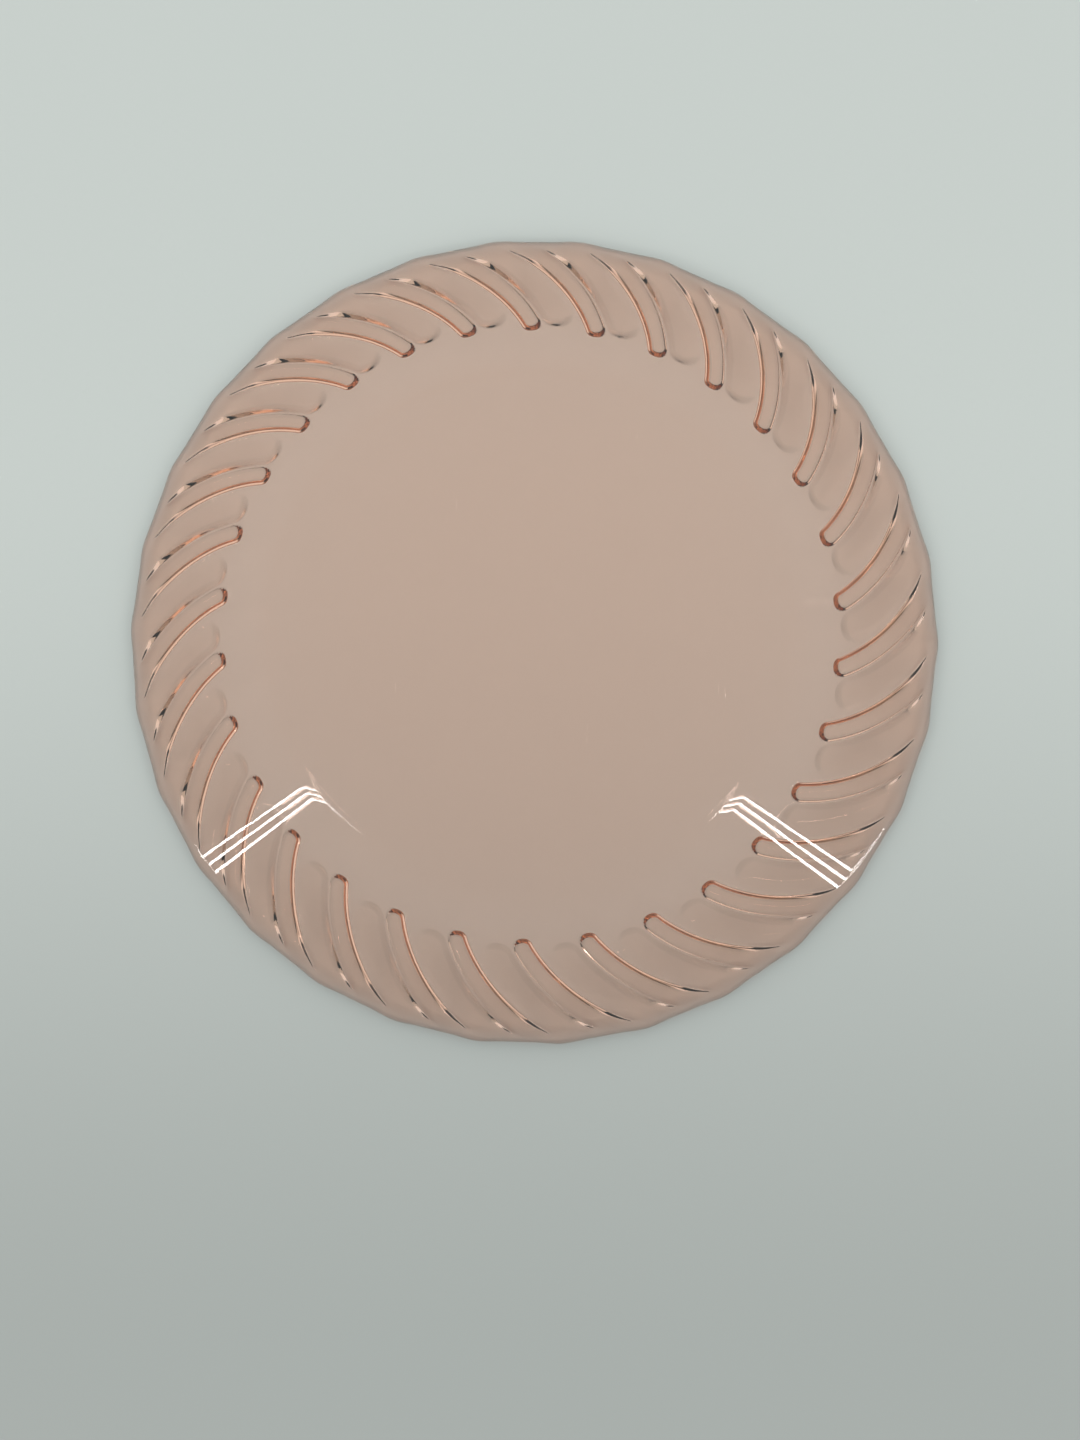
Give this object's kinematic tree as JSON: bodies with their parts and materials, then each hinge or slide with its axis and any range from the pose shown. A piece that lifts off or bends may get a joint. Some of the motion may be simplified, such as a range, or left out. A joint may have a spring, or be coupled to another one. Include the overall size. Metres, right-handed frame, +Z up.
{
  "type": "pressed-glass cake plate",
  "caption": "Round pressed-glass cake plate that stands on its rim: raised flat top, sloping rim with swirled ribs underneath, scalloped edge.",
  "frame": {"origin": "centre of the plate, on the surface that its rim stands on", "axes": "+Z up through the middle of the raised flat top, which faces up; +X to the right and +Y away from the viewer; the first narrow rib's inner end lies 4.5 degrees from +X towards +Y"},
  "size_m": [0.27, 0.269, 0.0257],
  "materials": {
    "pink_glass": "clear pale pink pressed glass, fire-polished and glossy, lightly scratched on the raised face"
  },
  "bodies": {
    "root": {"cake_plate": "pink_glass"}
  },
  "joints": []
}
